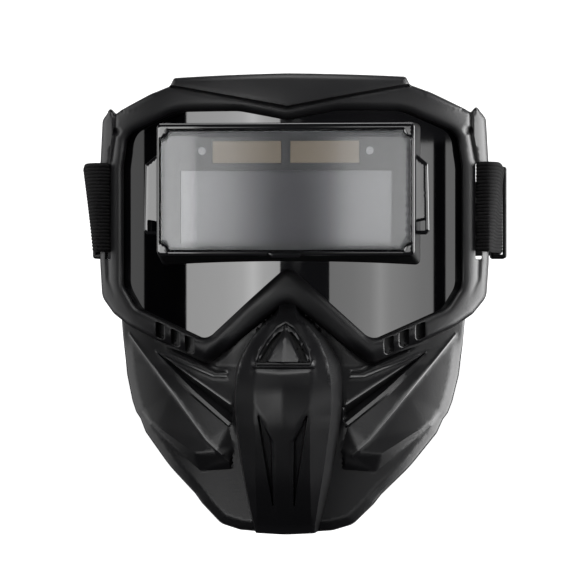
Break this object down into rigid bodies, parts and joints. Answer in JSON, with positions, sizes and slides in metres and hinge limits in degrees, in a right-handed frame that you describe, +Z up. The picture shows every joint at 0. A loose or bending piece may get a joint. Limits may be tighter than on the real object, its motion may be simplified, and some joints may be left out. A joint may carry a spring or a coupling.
{
  "type": "welding goggles",
  "caption": "Wrap-around goggles with a flip-free darkening filter box on a curved shield, a head strap and a detachable jaw mask with a ridged nose hood.",
  "frame": {"origin": "centre of the face opening at eye level, on the middle of the foam's face seal", "axes": "+Y out of the back of the face opening, towards the wearer's head; +Z up; +X towards the wearer's left"},
  "size_m": [0.195, 0.2558, 0.2027],
  "materials": {
    "frame_plastic": "satin",
    "mask_plastic": "satin",
    "shield": "gloss",
    "holder_plastic": "gloss",
    "cartridge_plastic": "satin",
    "clear_plate": "gloss",
    "filter_glass": "gloss",
    "lcd_glass": "gloss",
    "circuit_board": "satin",
    "solar_cell": "satin",
    "sensor_lens": "gloss",
    "cell_steel": "satin",
    "gasket": "matte",
    "foam": "matte",
    "fleece": "matte",
    "webbing": "matte",
    "silicone": "satin",
    "slider_plastic": "satin",
    "spring_steel": "satin"
  },
  "bodies": {
    "goggle": {"goggle_frame": "frame_plastic", "lens_shield": "shield", "lens_gasket": "gasket", "face_foam": "foam", "face_fleece": "fleece", "brow_vent_foam": "foam", "lower_vent_foam_left": "foam", "lower_vent_foam_right": "foam", "strap": "webbing", "strap_grip_bead_upper": "silicone", "strap_grip_bead_middle": "silicone", "strap_grip_bead_lower": "silicone", "mask_clip_left": "spring_steel", "mask_clip_right": "spring_steel"},
    "slider_left": {"strap_slider_left": "slider_plastic"},
    "slider_right": {"strap_slider_right": "slider_plastic"},
    "filter_unit": {"filter_holder": "holder_plastic", "cover_latch": "holder_plastic", "filter_case_front": "cartridge_plastic", "filter_case_rear": "cartridge_plastic", "uv_ir_filter": "filter_glass", "lcd_panel": "lcd_glass", "filter_circuit_board": "circuit_board", "solar_cell_left": "solar_cell", "solar_cell_right": "solar_cell", "arc_sensor_left": "sensor_lens", "arc_sensor_right": "sensor_lens", "button_cell_left": "cell_steel", "button_cell_right": "cell_steel", "inner_cover_plate": "clear_plate"},
    "plate": {"cover_plate": "clear_plate"},
    "jaw": {"jaw_mask": "mask_plastic", "nose_vent_cover": "mask_plastic", "breathing_filter": "foam", "filter_retainer": "mask_plastic"}
  },
  "joints": [
    {"name": "jaw_mask_release", "type": "slide", "parent": "goggle", "child": "jaw", "axis": [0, 0, -1], "range_m": [0, 0.07]},
    {"name": "filter_unit_release", "type": "slide", "parent": "goggle", "child": "filter_unit", "axis": [0, -1, 0], "range_m": [0, 0.04]},
    {"name": "cover_plate_release", "type": "slide", "parent": "filter_unit", "child": "plate", "axis": [0, -1, 0], "range_m": [0, 0.012]},
    {"name": "strap_slider_left_slide", "type": "slide", "parent": "goggle", "child": "slider_left", "axis": [0, 1, 0], "range_m": [0, 0.035]},
    {"name": "strap_slider_right_slide", "type": "slide", "parent": "goggle", "child": "slider_right", "axis": [0, 1, 0], "range_m": [0, 0.035]}
  ]
}
